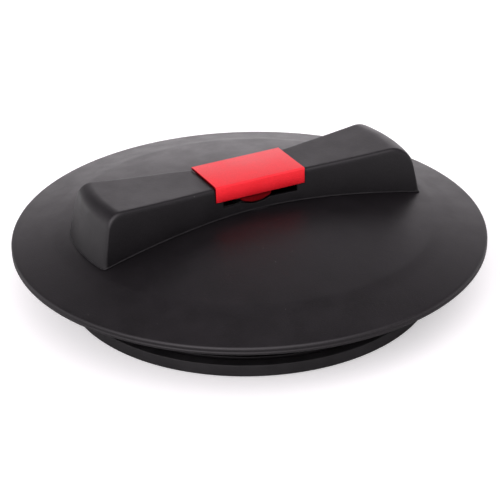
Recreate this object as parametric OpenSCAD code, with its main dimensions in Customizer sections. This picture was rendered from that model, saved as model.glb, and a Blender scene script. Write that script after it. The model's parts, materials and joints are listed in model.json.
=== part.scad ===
// Sink plunger: a round press-in plunger disc with a bow handle, a flip-up vent lever,
// a spring-loaded vent valve and a smooth rubber seal.
// Origin: the centre of the face it stands on, under the retaining ring. +Z up, +X along the
// handle, the vent lever opens from the front, -Y. All sizes in millimetres. The modules below
// measure z from the plane the cover's rim rests on, and stand() lifts them to the origin.
// Name endings: _r radius, _hw half width, _t thickness, _top and _bot heights.

/* [Cover] */
// Outer radius of the cover's rim
rim_r = 140; // [138.5:0.5:145]
// Height of the domed cover at its centre, above the rim's resting plane
dome_h = 23.1; // [22.6:0.1:23.6]
// Fall of the dome from its centre to a radius of 140 mm, if the dome ran that far
dome_drop = 17.5; // [17:0.1:18]
// Radius where the dome breaks into the sloping brim
crease_r = 115.5; // [115:0.5:118]
// Wall thickness of the cover
cover_t = 2.6; // [2.2:0.1:3]
// Outer radius of the skirt that carries the seal
skirt_r = 99; // [98.5:0.1:99.3]

/* [Handle] */
// Half width of the handle's waist at its top
waist_hw = 14.1; // [13.9:0.1:14.6]
// How fast the handle widens towards its ends
flare = 0.123; // [0.1:0.005:0.14]
// Height of the handle's top at the waist
handle_z = 41; // [40.8:0.1:41.4]
// Rise of the handle's top 84 mm from the middle
handle_rise = 2.8; // [1.5:0.1:3.5]
// Radius of the handle's end walls where they meet the cover
end_r = 106; // [104:0.5:108]
// Wall thickness of the handle
handle_t = 2.2; // [2:0.1:2.4]

/* [Vent lever] */
// Length of the lever cap along the handle
lever_l = 57.4; // [54:0.2:57.4]
// Width of the lever cap across the handle
lever_w = 32.7; // [32.6:0.1:33]
// Height of the lever's front flange
lever_flange_h = 9.8; // [8.8:0.1:9.8]
// Half width of the finger tongue
tongue_hw = 10; // [8:0.5:10]
// Valve lift per radian of lever swing
lift_per_rad = 1.93; // [1.5:0.01:1.93]

/* [Seal] */
// Outer radius of the seal's smooth face
seal_r = 109.4; // [108:0.1:111]
// Lead-in chamfer on the seal's lower edge
seal_lead = 0.9; // [0.4:0.1:1.4]

/* [Hidden] */
$fn = 96;
ring_fn = 180;

black = [0.17, 0.16, 0.165];

// height of the rim's resting plane above the face it stands on
rim_plane_z = 33.6;

// hinge of the vent lever, along X
hinge_y = 9.8;
hinge_z = handle_z - 6.5;
pin_r = 1.5;
barrel_r = 3.3;

// lever cap, and the handle's openings around it
lever_top = handle_z + 1.7;
lever_bot = handle_z + 0.1;
flange_bot = lever_top - lever_flange_h;
opening_hw = lever_l / 2 + 0.3;
slot_bot = 28.7;
slot_hw = 24;
front_y = -30;        // where the cuts start, ahead of the handle's front wall
// finger tongue: its middle, lowest point, front face and the radius of its lower edge
tongue_x = -2;
tongue_bot = 27.3;
tongue_y = -13.9;
tongue_r = 19;

// flat pad in the middle of the cover, with the valve's seat on it and a hub under it
pad_r = 16;
pad_top = 23.3;
pad_bot = pad_top - 2.7;
seat_top = 24.18;
hub_r = 5.9;
hub_bore_r = 4.5;
hub_bot = 8;

// skirt and the seal's joint under it
skirt_t = 3;
skirt_bot = -24.8;
seal_top = skirt_bot - 0.1;

// screws that hold the seal's retaining ring
ring_n = 8;
ring_step = 360 / ring_n;
ring_pcd_r = 91.5;
// screws that hold the handle, each [x, y]; the outer ones stand where handle_rise is reached
rise_x = 84;
handle_pts = [[rise_x, 11], [rise_x, -11], [-rise_x, 11], [-rise_x, -11], [36, 0], [-36, 0]];
pilot_r = 1.65;       // blind holes the screws cut into

function lerp(a, b, u) = a + (b - a) * u;
function smooth_step(x, from, to) = let (u = max(0, min(1, (x - from) / (to - from))))
    u * u * (3 - 2 * u);
// a polyhedron's four-sided face as two triangles
function quad(a, b, c, d) = [[a, b, c], [a, c, d]];
// underside of the cover's boss at handle screw p
function boss_bot(p) = norm(p) > 60 ? 12 : 17.3;

module stand() { translate([0, 0, rim_plane_z]) children(); }

module at_ring_screws(z) {
    for (k = [0 : ring_n - 1])
        rotate([0, 0, ring_step * k]) translate([ring_pcd_r, 0, z]) children();
}

// box centred on x = 0, reaching back from y and up from z
module wide_box(hw, y, z, depth, height) {
    translate([-hw, y, z]) cube([2 * hw, depth, height]);
}

module hinge_rod(radius, length) {
    translate([-length / 2, hinge_y, hinge_z]) rotate([0, 90, 0])
        cylinder(r = radius, h = length);
}

module washer(outer_r, inner_r, thickness) {
    difference() {
        cylinder(r = outer_r, h = thickness);
        translate([0, 0, -1]) cylinder(r = inner_r, h = thickness + 2);
    }
}

// retaining clip that opens towards -Y
module e_clip(inner_r, outer_r, thickness) {
    cut_h = thickness + 2;
    difference() {
        washer(outer_r, inner_r, thickness);
        translate([-inner_r * 0.85, -outer_r - 1, -1])
            cube([inner_r * 1.7, outer_r + 1, cut_h]);
        for (side = [-1, 1]) translate([side * outer_r * 0.72, outer_r * 0.15, -1])
            cylinder(r = outer_r * 0.16, h = cut_h);
    }
}

// ---- cover -------------------------------------------------------------------------------

dome_ref_r = 140;     // radius where dome_drop is reached
function dome_z(r) = dome_h - dome_drop * (r / dome_ref_r) * (r / dome_ref_r);
function dome_slope(r) = -2 * dome_drop * r / (dome_ref_r * dome_ref_r);
// [r, z] points along the dome, raised by shift; skip leaves out points at the end
function dome_run(from, to, steps, shift = 0, skip = 0) =
    [for (i = [0 : steps - skip]) let (r = lerp(from, to, i / steps)) [r, dome_z(r) + shift]];
// height gained at fraction u of a width over which one slope blends into another
function ease(slope_a, slope_b, width, u) =
    width * (slope_a * u + (slope_b - slope_a) * (u * u * u - u * u * u * u / 2));

// the crease: the dome eases into a short steeper step, which eases out into the brim
crease_in = 8.5;      // from the step's start out to crease_r
crease_slope = -0.30;
ease_in = 4.5;
step_run = 3;
ease_out = 3.5;
step_r = crease_r - crease_in;
step_z1 = dome_z(step_r) + ease(dome_slope(step_r), crease_slope, ease_in, 1);
step_z2 = step_z1 + step_run * crease_slope;
// straight brim, from the crease to the rim's rounded top corner
brim_start_r = step_r + ease_in + step_run + ease_out;
brim_end = [138.79, 4.552];
brim_slope = -(step_z2 + ease_out / 2 * crease_slope - brim_end[1])
    / (brim_end[0] - brim_start_r + ease_out / 2);
brim_angle = atan(-brim_slope);
corner_r = 1.6;
corner_mid = [rim_r - corner_r, 3.0];

// cover's top across the crease, a distance out from step_r
function crease_z(out) =
    out < ease_in ? dome_z(step_r)
        + ease(dome_slope(step_r), crease_slope, ease_in, out / ease_in) :
    out < ease_in + step_run ? step_z1 + crease_slope * (out - ease_in) :
    step_z2 + ease(crease_slope, brim_slope, ease_out, (out - ease_in - step_run) / ease_out);

module cover_profile() {
    steps = 22;
    skirt_in_r = skirt_r - skirt_t;
    lip_r = skirt_r + 4.8;
    lip_top = skirt_bot + 2;
    polygon(concat(
        // hub bore, pad and the raised valve seat
        [[hub_bore_r, hub_bot], [hub_bore_r, pad_top], [9.4, pad_top], [9.8, seat_top],
         [11.1, seat_top], [11.5, pad_top], [pad_r, pad_top]],
        // top: dome, crease, brim and rim
        dome_run(pad_r, step_r, steps),
        [for (out = [1.5, 3, 4.5, 7.5, 9, 11]) [step_r + out, crease_z(out)]],
        [for (i = [0 : 6]) let (a = lerp(90 - brim_angle, 0, i / 6))
            corner_mid + corner_r * [cos(a), sin(a)]],
        [[rim_r, 0.6], [rim_r - 0.6, 0], [rim_r - 5.5, 0]],
        // underside: brim, dome, skirt with its outer lip, dome and hub
        [[rim_r - 6.3, corner_mid[1] + corner_r + 5.8 * tan(brim_angle) - cover_t],
         [crease_r + 1, crease_z(crease_in + 1) - cover_t - 0.05]],
        dome_run(crease_r - 6, skirt_r + 1, 4, -cover_t),
        [[skirt_r, dome_z(skirt_r) - cover_t - 1], [skirt_r, lip_top], [lip_r, lip_top],
         [lip_r, skirt_bot], [skirt_in_r, skirt_bot]],
        dome_run(skirt_in_r, pad_r, steps, -cover_t, skip = 1),
        [[pad_r, pad_bot], [hub_r, pad_bot], [hub_r, hub_bot]]
    ));
}

// radial rib under the dome
module rib() {
    inner_r = 14;
    outer_r = skirt_r - 1.5;
    rotate([90, 0, 0]) linear_extrude(2, center = true)
        polygon(concat(
            dome_run(inner_r, outer_r, 6, -cover_t * 0.6),
            [[outer_r, dome_z(outer_r) - 14], [outer_r - 8, dome_z(outer_r) - 11],
             [inner_r + 10, dome_z(inner_r) - 9], [inner_r, dome_z(inner_r) - 5]]));
}

module cover() {
    boss_sink = 0.4;      // boss tops stop this far below the dome's top
    ring_boss_r = 5.5;
    ring_boss_bot = skirt_bot + 0.2;
    handle_boss_r = 6;
    color(black) difference() {
        union() {
            rotate_extrude($fn = ring_fn) cover_profile();
            for (k = [0 : ring_n - 1]) rotate([0, 0, ring_step * (k + 0.5)]) rib();
            at_ring_screws(ring_boss_bot)
                cylinder(r = ring_boss_r, h = dome_z(ring_pcd_r + 6) - boss_sink - ring_boss_bot);
            for (p = handle_pts) translate([p[0], p[1], boss_bot(p)])
                cylinder(r = handle_boss_r,
                         h = dome_z(norm(p) + handle_boss_r) - boss_sink - boss_bot(p));
        }
        // vent holes round the hub
        for (k = [0 : 5]) rotate([0, 0, 60 * k + 30]) translate([7.7, 0, 15])
            cylinder(r = 1.5, h = 12);
        // clearance holes for the handle's screws
        for (p = handle_pts) translate([p[0], p[1], 5]) cylinder(r = 2.15, h = 25);
        // blind holes for the ring's screws
        at_ring_screws(-25) cylinder(r = pilot_r, h = 16.2);
    }
}

// ---- handle ------------------------------------------------------------------------------

flare_blend = 30;     // softens the flare at the waist
side_lean = 0.066;    // how far the sides lean out per mm down
end_lean = 0.23;      // how far the end walls lean in per mm up
end_foot_z = 13;      // where the end walls have radius end_r

function top_z(x) = handle_z + handle_rise * (x / rise_x) * (x / rise_x);
function half_w(x, z) = waist_hw
    + flare * (sqrt(x * x + flare_blend * flare_blend) - flare_blend)
    + side_lean * (handle_z - z);
// how much wider the handle is at its back than at its front
function back_extra(x) = 1.7 * smooth_step(-x, 30, 44) + 1.6 * smooth_step(-x, 80, 104)
    + 0.7 * smooth_step(x, 30, 50);

// The handle's end profile as [radius from the cover's axis, z], from the foot of the end
// wall, round the top corner, to where the flat top starts. The corner is a weighted curve
// that starts and ends at a distance leg from the sharp corner.
function end_columns(end_in, top_in, bottom, leg) = let (
        wall_r = function (z) end_r - end_in - end_lean * (z - end_foot_z),
        corner_z = top_z(91) + 0.55 - top_in,
        corner = [wall_r(corner_z), corner_z],
        start_z = corner_z - leg,
        start = [wall_r(start_z), start_z],
        end = [corner[0] - leg, top_z(corner[0] - leg) - top_in],
        weight = 0.76,
        middle_z = (bottom + start_z) / 2)
    concat([[wall_r(bottom + 0.5), bottom + 0.5], [wall_r(middle_z), middle_z]],
           [for (i = [0 : 5])
               let (u = i / 5, a = (1 - u) * (1 - u), b = 2 * weight * u * (1 - u), c = u * u)
               (a * start + b * corner + c * end) / (a + b + c)]);

// A solid with the handle's outline, pulled in at the sides, ends and top, standing on
// z = bottom. The corner legs of its left (-X) and right (+X) ends can differ.
module handle_block(side_in, end_in, top_in, bottom, left_leg, right_leg) {
    across = 6;    // steps across
    along = 14;    // steps along the flat top
    left = end_columns(end_in, top_in, bottom, left_leg);
    right = end_columns(end_in, top_in, bottom, right_leg);
    last = len(left) - 1;
    left_x = left[last][0];
    right_x = right[last][0];
    // each [x, z, whether it is on the flat top]
    columns = concat(
        [for (p = left) [-p[0], p[1], false]],
        [for (i = [1 : along - 1]) let (x = lerp(-left_x, right_x, i / along))
            [x, top_z(x) - top_in, true]],
        [for (i = [last : -1 : 0]) [right[i][0], right[i][1], false]]);

    // t runs from -1 at the front to 1 at the back
    function side_y(x, z, t) =
        t * (half_w(x, z) - side_in + (t > 0 ? back_extra(x) : 0));
    // a column's x at y, bent to the round of the ends
    function bowed_x(col, y) = let (end_x = col[0] < 0 ? left_x : right_x)
        col[2] ? col[0] * sqrt(end_x * end_x - y * y) / end_x
               : sign(col[0]) * sqrt(col[0] * col[0] - y * y);
    function point(col, t, low) = let (
            z = low ? bottom : col[1],
            near_x = bowed_x(col, side_y(col[0], z, t)),
            y = side_y(near_x, z, t),
            x = bowed_x(col, y))
        [x, y, !low && col[2] ? top_z(x) - top_in : z];

    row = across + 1;             // points in a column
    low = len(columns) * row;     // first point of the bottom
    end = low - row;              // first point of the last column
    starts = [0 : row : end - row];
    points = [for (is_low = [false, true]) for (col = columns) for (j = [0 : across])
        point(col, -1 + 2 * j / across, is_low)];
    faces = concat(
        // top and bottom
        [for (s = starts) for (j = [0 : across - 1]) let (a = s + j)
            each quad(a, a + 1, a + row + 1, a + row)],
        [for (s = starts) for (j = [0 : across - 1]) let (a = low + s + j)
            each quad(a, a + row, a + row + 1, a + 1)],
        // front and back
        [for (a = starts) each quad(a, a + row, low + a + row, low + a)],
        [for (s = starts) let (a = s + across) each quad(a, low + a, low + a + row, a + row)],
        // left and right ends
        [for (a = [0 : across - 1]) each quad(a, low + a, low + a + 1, a + 1)],
        [for (j = [0 : across - 1]) let (a = end + j)
            each quad(a, a + 1, low + a + 1, low + a)]);
    polyhedron(points, faces, convexity = 6);
}

// the space the cover's dome takes, with a small gap for the joint line
module dome_space(gap) {
    inner_r = pad_r + 0.2;
    outer_r = 124;
    rotate_extrude($fn = ring_fn) polygon(concat(
        [[0, -20], [0, pad_top + gap], [inner_r, pad_top + gap]],
        dome_run(inner_r, outer_r, 20, gap),
        [[outer_r, -20]]));
}

module handle_shell() {
    boss_z = 12;
    post_z = 30;
    color([0.19, 0.185, 0.19]) difference() {
        union() {
            difference() {
                handle_block(0, 0, 0, 8, 7.75, 13);
                handle_block(handle_t, handle_t + 0.1, handle_t + 0.1, 6, 6, 11);
            }
            for (p = handle_pts) translate([p[0], p[1], boss_z])
                cylinder(r = 4.5, h = top_z(p[0]) - 1.1 - boss_z);
            // posts that carry the hinge pin
            for (side = [-1, 1]) translate([side * 19 - 2, 5, post_z])
                cube([4, 9, handle_z - 1 - post_z]);
        }
        dome_space(0.05);
        // blind holes for the handle's screws
        for (p = handle_pts) translate([p[0], p[1], 10])
            cylinder(r = pilot_r, h = dome_z(norm(p)) + 4);
        hinge_rod(pin_r + 0.03, 50);
        // room for the lever's cams and webs, through the roof and the back wall
        wide_box(16.5, -12.5, handle_z - 3.4, 34.5, 8);
        wide_box(16.2, 8, 29.8, 12, 20);
        // front opening behind the lever's flange, and the finger slot under it
        wide_box(opening_hw, front_y, flange_bot - 0.1, 18.2, 20);
        wide_box(slot_hw, front_y, slot_bot, 18.5, 10);
        // dish in the slot's lower lip, which the tongue's rounded edge sits in
        translate([tongue_x, -18, tongue_bot + tongue_r]) rotate([-90, 0, 0])
            cylinder(r = tongue_r + 0.5, h = 8);
        // flat seat for the lever's plate, where the handle's top starts to rise
        wide_box(opening_hw, front_y, handle_z + 0.02, 60, 8);
        // rounded back edge of the roof, where the lever's plate swings down
        difference() {
            wide_box(opening_hw + 0.2, hinge_y, hinge_z, 14, 14);
            hinge_rod(6.45, 2 * opening_hw + 3);
        }
    }
}

// ---- vent lever --------------------------------------------------------------------------

cam_rest = 3.6;       // cam's height over the hinge axis with the lever closed
flange_t = 1.35;

// Cam whose lift over the pin grows evenly with the angle it is turned.
module cam_profile() {
    function height(a) = cam_rest + lift_per_rad * (a - 90) * PI / 180;
    circle(r = barrel_r);
    polygon(concat(
        [[0, 0], [2.2, 2.2], [0.4, cam_rest]],
        [for (i = [0 : 19]) let (a = 90 + 5 * i)
            height(a) * [cos(a), sin(a)] + lift_per_rad * [-sin(a), cos(a)]],
        [[-5.4, -3.1], [-3.4, -3.2], [-1, -3.1]]));
}

module vent_lever() {
    cap_hw = lever_l / 2;
    cap_y = -lever_w / 2;
    web_w = 5;
    cam_w = 5.5;
    color([0.83, 0.16, 0.2]) difference() {
        union() {
            // cap plate and front flange
            wide_box(cap_hw, cap_y, lever_bot, lever_w, lever_top - lever_bot);
            wide_box(cap_hw, cap_y, flange_bot, flange_t, lever_flange_h);
            // finger tongue with a rounded lower edge, set back behind the flange
            intersection() {
                translate([tongue_x - tongue_hw, tongue_y, tongue_bot - 1])
                    cube([2 * tongue_hw, 1.5, lever_bot - tongue_bot + 1.2]);
                translate([tongue_x, tongue_y - 1, tongue_bot + tongue_r]) rotate([-90, 0, 0])
                    cylinder(r = tongue_r, h = 4);
            }
            // barrel and webs that hang the cap on its pin
            hinge_rod(barrel_r, 31.8);
            for (side = [-1, 1]) translate([side * 12.7 - web_w / 2, hinge_y - 4.3, hinge_z])
                cube([web_w, 8.4, lever_bot - hinge_z + 0.5]);
            // cams
            for (side = [-1, 1]) translate([side * 6.75 - cam_w / 2, hinge_y, hinge_z])
                rotate([90, 0, 90]) linear_extrude(cam_w) cam_profile();
        }
        hinge_rod(pin_r + 0.05, 40);
    }
}

pin_l = 45;
pin_groove_w = 0.75;
// left edge of each clip groove
pin_grooves = [-pin_l / 2 + 0.45, pin_l / 2 - 0.45 - pin_groove_w];

module hinge_pin() {
    color("silver") difference() {
        hinge_rod(pin_r, pin_l);
        for (x = pin_grooves) translate([x, hinge_y, hinge_z]) rotate([0, 90, 0])
            washer(3, 1.15, pin_groove_w);
    }
}

module pin_clips() {
    color("dimgray") for (x = pin_grooves) translate([x + 0.05, hinge_y, hinge_z])
        rotate([90, 0, 90]) e_clip(1.2, 2.6, 0.65);
}

// ---- valve -------------------------------------------------------------------------------

stem_r = 3;
stem_bot = -4;
stem_top = hinge_z + cam_rest;
stem_groove_z = -2.05;
stem_disc_z = 25.8;
lifter_bot = stem_top + 0.02;
lifter_t = 2.38;
lifter_top = lifter_bot + lifter_t;

// crossed slots, standing on z = 0
module cross_slots(length, width, depth) {
    for (a = [0, 90]) rotate([0, 0, a]) translate([-length / 2, -width / 2, 0])
        cube([length, width, depth]);
}

module lifter_plate() {
    color("whitesmoke") translate([0, 0, lifter_bot]) difference() {
        wide_box(9.5, -6.5, 0, 15.1, lifter_t);
        translate([0, 0, -1]) cylinder(r = 1.6, h = 5);
        translate([0, 0, 0.86]) cylinder(r1 = 1.6, r2 = 3.12, h = 1.53);
    }
}

module lifter_screw() {
    shank_r = 1.5;
    head_h = 1.5;
    color("silver") translate([0, 0, lifter_top]) difference() {
        union() {
            translate([0, 0, -head_h]) cylinder(r1 = shank_r, r2 = 3, h = head_h);
            translate([0, 0, -12]) cylinder(r = shank_r, h = 10.6);
        }
        translate([0, 0, -1]) cross_slots(3.2, 0.6, 2);
    }
}

module valve_stem() {
    color("whitesmoke") difference() {
        union() {
            translate([0, 0, stem_bot]) cylinder(r = stem_r, h = stem_top - stem_bot);
            translate([0, 0, stem_disc_z]) {
                cylinder(r = 11, h = 1.5);
                cylinder(r = 3.9, h = 3.2);
            }
        }
        // blind hole for the lifter screw
        translate([0, 0, stem_top - 11]) cylinder(r = 1.55, h = 12);
        translate([0, 0, stem_groove_z]) washer(5, 2.3, 0.85);
    }
}

module valve_washer() {
    color([0.07, 0.07, 0.07]) translate([0, 0, seat_top + 0.02]) washer(12.2, 3.2, 1.58);
}

module stem_bush() {
    bush_bot = 6.4;
    color("whitesmoke") difference() {
        translate([0, 0, bush_bot]) {
            cylinder(r = hub_r, h = 1.57);
            cylinder(r = hub_bore_r - 0.02, h = pad_top - bush_bot);
        }
        translate([0, 0, 5]) cylinder(r = stem_r + 0.05, h = 20);
        translate([0, 0, bush_bot - 0.05]) cylinder(r1 = stem_r + 0.6, r2 = stem_r, h = 0.6);
    }
}

module valve_spring() {
    turns = 4.6;
    steps = floor(turns * 22);
    sides = 6;
    wire_r = 0.6;
    coil_r = 11;
    bottom = wire_r + 0.05;
    top = pad_bot - wire_r - 0.1;
    flat = 0.17;   // share of the coil at each end over which the pitch eases to nothing
    function rise(u) =
        u < flat ? 0.5 * u * u / flat :
        u > 1 - flat ? (1 - flat) - 0.5 * (1 - u) * (1 - u) / flat :
        u - 0.5 * flat;
    points = [for (i = [0 : steps])
        let (u = i / steps, a = 360 * turns * u, z = lerp(bottom, top, rise(u) / rise(1)))
        for (j = [0 : sides - 1]) let (b = 360 * j / sides, r = coil_r + wire_r * cos(b))
            [r * cos(a), r * sin(a), z + wire_r * sin(b)]];
    faces = concat(
        [[for (j = [0 : sides - 1]) j]],
        [for (i = [0 : steps - 1]) for (j = [0 : sides - 1])
            let (a = i * sides, b = a + sides, k = (j + 1) % sides)
            each quad(a + j, b + j, b + k, a + k)],
        [[for (j = [sides - 1 : -1 : 0]) steps * sides + j]]);
    color("silver") polyhedron(points, faces, convexity = 8);
}

module spring_cup() {
    color("whitesmoke") difference() {
        translate([0, 0, -1.2]) cylinder(r = 12.8, h = 4);
        cylinder(r = 12.1, h = 4);
        translate([0, 0, -2]) cylinder(r = stem_r + 0.04, h = 4);
        for (k = [0 : 3]) rotate([0, 0, 90 * k + 45]) translate([7, 0, -2])
            cylinder(r = 1.8, h = 4);
    }
}

module stem_clip() {
    color("dimgray") translate([0, 0, stem_groove_z + 0.07]) e_clip(2.35, 5, 0.7);
}

// ---- seal --------------------------------------------------------------------------------

ring_bot = -rim_plane_z;
ring_flange_top = ring_bot + 1.7;

module seal_ring() {
    inner_r = 97.8;
    recess_r = 104.8;     // recess for the retaining ring's flange
    recess_z = -31.85;
    bottom = -32.4;
    color([0.12, 0.12, 0.12]) rotate_extrude($fn = ring_fn) polygon([
        [inner_r, recess_z], [recess_r, recess_z], [recess_r, bottom],
        [seal_r - seal_lead, bottom], [seal_r, bottom + seal_lead],
        [seal_r, seal_top - 0.4], [seal_r - 0.4, seal_top], [inner_r, seal_top]]);
}

module retaining_ring() {
    color(black) difference() {
        union() {
            rotate_extrude($fn = ring_fn) polygon([
                [86, ring_bot], [104, ring_bot], [104.6, ring_bot + 0.5],
                [104.6, ring_flange_top], [97.6, ring_flange_top], [97.6, seal_top],
                [94.6, seal_top], [94.6, ring_flange_top], [86, ring_flange_top]]);
            at_ring_screws(ring_bot) cylinder(r = 5.4, h = seal_top - ring_bot);
        }
        // clearance hole and head recess
        at_ring_screws(-35) {
            cylinder(r = 2.2, h = 15);
            cylinder(r = 4.1, h = 4.4);
        }
    }
}

// ---- fasteners ---------------------------------------------------------------------------

// Self-tapping pan screw with its head's underside at z = 0 and its shank pointing up.
module tap_screw(length, head_r) {
    head_h = 2.4;
    shank_r = 1.6;
    difference() {
        union() {
            translate([0, 0, -head_h]) cylinder(r1 = head_r - 0.5, r2 = head_r, h = head_h * 0.4);
            translate([0, 0, -head_h * 0.6]) cylinder(r = head_r, h = head_h * 0.6);
            translate([0, 0, -0.1]) cylinder(r = shank_r, h = length - 1.5);
            translate([0, 0, length - 1.6]) cylinder(r1 = shank_r, r2 = 0.5, h = 1.6);
        }
        translate([0, 0, -head_h - 1]) cross_slots(head_r * 1.2, 0.9, 2.2);
    }
}

module ring_screws() {
    color("silver") at_ring_screws(-30.65) tap_screw(18, 3.8);
}

module handle_screws() {
    color("silver") for (p = handle_pts) translate([p[0], p[1], boss_bot(p) - 1.1])
        tap_screw(15, 3.4);
}

module handle_washers() {
    color("silver") for (p = handle_pts) translate([p[0], p[1], boss_bot(p) - 1.03])
        washer(4.6, 2.1, 1);
}

stand() cover();
stand() handle_shell();
stand() vent_lever();
stand() hinge_pin();
stand() pin_clips();
stand() lifter_plate();
stand() lifter_screw();
stand() valve_stem();
stand() valve_washer();
stand() stem_bush();
stand() valve_spring();
stand() spring_cup();
stand() stem_clip();
stand() seal_ring();
stand() retaining_ring();
stand() ring_screws();
stand() handle_screws();
stand() handle_washers();
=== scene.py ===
"""A round domed cover with a bar handle and a red flip-up vent lever.

The cover's axis is Z and the handle runs along X. The front is -Y, where the lever's lip is;
the lever's hinge is towards the back, +Y. Sizes are in millimetres, with heights measured
from the plane the rim rests on. Materials, floor and lights are in metres.
"""
import bpy
import bmesh
import json
import math
from collections import namedtuple
import numpy as np
from mathutils import Vector, Matrix

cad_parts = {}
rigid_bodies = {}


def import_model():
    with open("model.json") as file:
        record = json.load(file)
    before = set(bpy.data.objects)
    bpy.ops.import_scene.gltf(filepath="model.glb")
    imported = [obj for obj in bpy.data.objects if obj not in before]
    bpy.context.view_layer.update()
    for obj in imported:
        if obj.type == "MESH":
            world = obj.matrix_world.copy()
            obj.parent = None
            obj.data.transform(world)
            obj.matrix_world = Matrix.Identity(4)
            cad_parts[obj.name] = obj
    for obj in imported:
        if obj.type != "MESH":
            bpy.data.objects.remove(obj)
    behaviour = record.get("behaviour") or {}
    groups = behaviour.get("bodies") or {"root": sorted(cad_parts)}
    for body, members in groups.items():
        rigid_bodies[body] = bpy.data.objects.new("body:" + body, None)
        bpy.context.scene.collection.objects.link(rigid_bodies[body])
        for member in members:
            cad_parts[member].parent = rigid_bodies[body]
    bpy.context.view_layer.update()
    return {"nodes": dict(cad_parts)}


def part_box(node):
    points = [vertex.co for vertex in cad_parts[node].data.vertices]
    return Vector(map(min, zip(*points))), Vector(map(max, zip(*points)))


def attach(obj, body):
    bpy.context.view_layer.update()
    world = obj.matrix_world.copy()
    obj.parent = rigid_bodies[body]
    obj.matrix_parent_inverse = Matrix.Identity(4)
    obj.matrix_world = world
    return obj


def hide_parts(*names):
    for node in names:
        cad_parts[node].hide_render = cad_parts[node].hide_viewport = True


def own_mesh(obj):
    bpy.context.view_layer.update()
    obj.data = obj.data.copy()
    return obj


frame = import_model()
SC = bpy.context.scene

# ------------------------------------------------------------------ driving sizes
MM = 0.001
SKIRT_DEPTH = 24.8                 # the cover's lowest point, below the rim plane
RIM_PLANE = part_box("cover")[0].z / MM + SKIRT_DEPTH

RIM_R = 139.95
DOME_TOP, DOME_DROP, DOME_R = 23.1, 17.5, 140.0
COVER_WALL = 2.6
SKIRT_R = 99.0                     # inner radius of the skirt under the cover
CREASE = 115.5                     # radius about which the dome breaks into the brim

RING_SCREWS, RING_SCREW_R = 8, 91.5
# x, y, height of the screw's seat under the cover
HANDLE_SCREWS = ((84, 11, 12.0), (84, -11, 12.0), (-84, 11, 12.0), (-84, -11, 12.0),
                 (36, 0, 17.3), (-36, 0, 17.3))
LOW_SEAT = 12.0

JOINT_GAP = 0.06                   # between the handle's foot and the dome
HINGE = (9.8, 34.5)                # y, z of the lever's hinge
HINGE_Y, HINGE_Z = HINGE
TONGUE_X, TONGUE_Y, TONGUE_Z = -2.0, -13.9, 27.3     # lowest point of the lever's tongue
TONGUE_R, TONGUE_HALF_W = 19.0, 10.0


# ------------------------------------------------------------------ rules of the shape
def dome(r):
    """Height of the cover's top surface at radius r."""
    return DOME_TOP - DOME_DROP * (r / DOME_R) ** 2


def half_width(x, z):
    """Half the handle's width: it flares towards its ends and its foot."""
    return 14.1 + 0.123 * (math.sqrt(x ** 2 + 900.0) - 30.0) + 0.066 * (41.0 - z)


def top_z(x):
    """Height of the handle's top, which rises towards its ends."""
    return 41.0 + 2.8 * (x / 84.0) ** 2


def smoothstep(value, start, end):
    u = min(1.0, max(0.0, (value - start) / (end - start)))
    return u * u * (3 - 2 * u)


def extra_back(x):
    """How much wider the handle is at its back than at its front."""
    if x < 0:
        return 1.7 * smoothstep(-x, 30, 44) + 1.6 * smoothstep(-x, 80, 104)
    return 0.7 * smoothstep(x, 30, 50)


def eased_rise(slope_a, slope_b, width, u):
    """Rise over the share u of a width in which one slope turns into another."""
    return width * (slope_a * u + (slope_b - slope_a) * (u ** 3 - u ** 4 / 2))


# Beyond the dome: a bend, a short steeper step, a second bend, then the straight brim
BEND_1, STEEP, BEND_2 = 4.5, 3.0, 3.5
STEP_R = CREASE - 8.5
STEEP_R = STEP_R + BEND_1
BEND_2_R = STEEP_R + STEEP
BRIM_R = BEND_2_R + BEND_2
DOME_SLOPE = -DOME_DROP * STEP_R / (DOME_R ** 2 / 2)
STEEP_SLOPE = -0.30
STEEP_Z = dome(STEP_R) + eased_rise(DOME_SLOPE, STEEP_SLOPE, BEND_1, 1)
BEND_2_Z = STEEP_Z + STEEP * STEEP_SLOPE
BRIM_END_R, BRIM_END_Z = 138.79, 4.552
BRIM_SLOPE = (-(BEND_2_Z + BEND_2 / 2 * STEEP_SLOPE - BRIM_END_Z)
              / (BRIM_END_R - BRIM_R + BEND_2 / 2))


def step_z(r):
    """Height of the cover's top between STEP_R and BRIM_R."""
    if r < STEEP_R:
        return dome(STEP_R) + eased_rise(DOME_SLOPE, STEEP_SLOPE, BEND_1, (r - STEP_R) / BEND_1)
    if r < BEND_2_R:
        return STEEP_Z + STEEP_SLOPE * (r - STEEP_R)
    return BEND_2_Z + eased_rise(STEEP_SLOPE, BRIM_SLOPE, BEND_2, (r - BEND_2_R) / BEND_2)


def ring_place(k):
    """x, y of the k-th screw of the retaining ring."""
    angle = math.radians(360 // RING_SCREWS * k)
    return RING_SCREW_R * math.cos(angle), RING_SCREW_R * math.sin(angle)


# ------------------------------------------------------------------ mesh helpers
def solid(name, verts, faces):
    """Closed mesh object from millimetre points measured from the rim plane."""
    points = np.array(verts, float)
    points[:, 2] += RIM_PLANE
    mesh = bpy.data.meshes.new(name)
    mesh.from_pydata((points * MM).tolist(), [], faces)
    mesh.validate()
    mesh.update()
    ob = bpy.data.objects.new(name, mesh)
    SC.collection.objects.link(ob)
    bm = bmesh.new()
    bm.from_mesh(mesh)
    bmesh.ops.recalc_face_normals(bm, faces=bm.faces)
    bm.to_mesh(mesh)
    bm.free()
    return ob


def apply_modifiers(ob):
    graph = bpy.context.evaluated_depsgraph_get()
    graph.update()
    mesh = bpy.data.meshes.new_from_object(ob.evaluated_get(graph), preserve_all_data_layers=True,
                                           depsgraph=graph)
    ob.modifiers.clear()
    old = ob.data
    ob.data = mesh
    mesh.name = ob.name
    bpy.data.meshes.remove(old)


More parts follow.
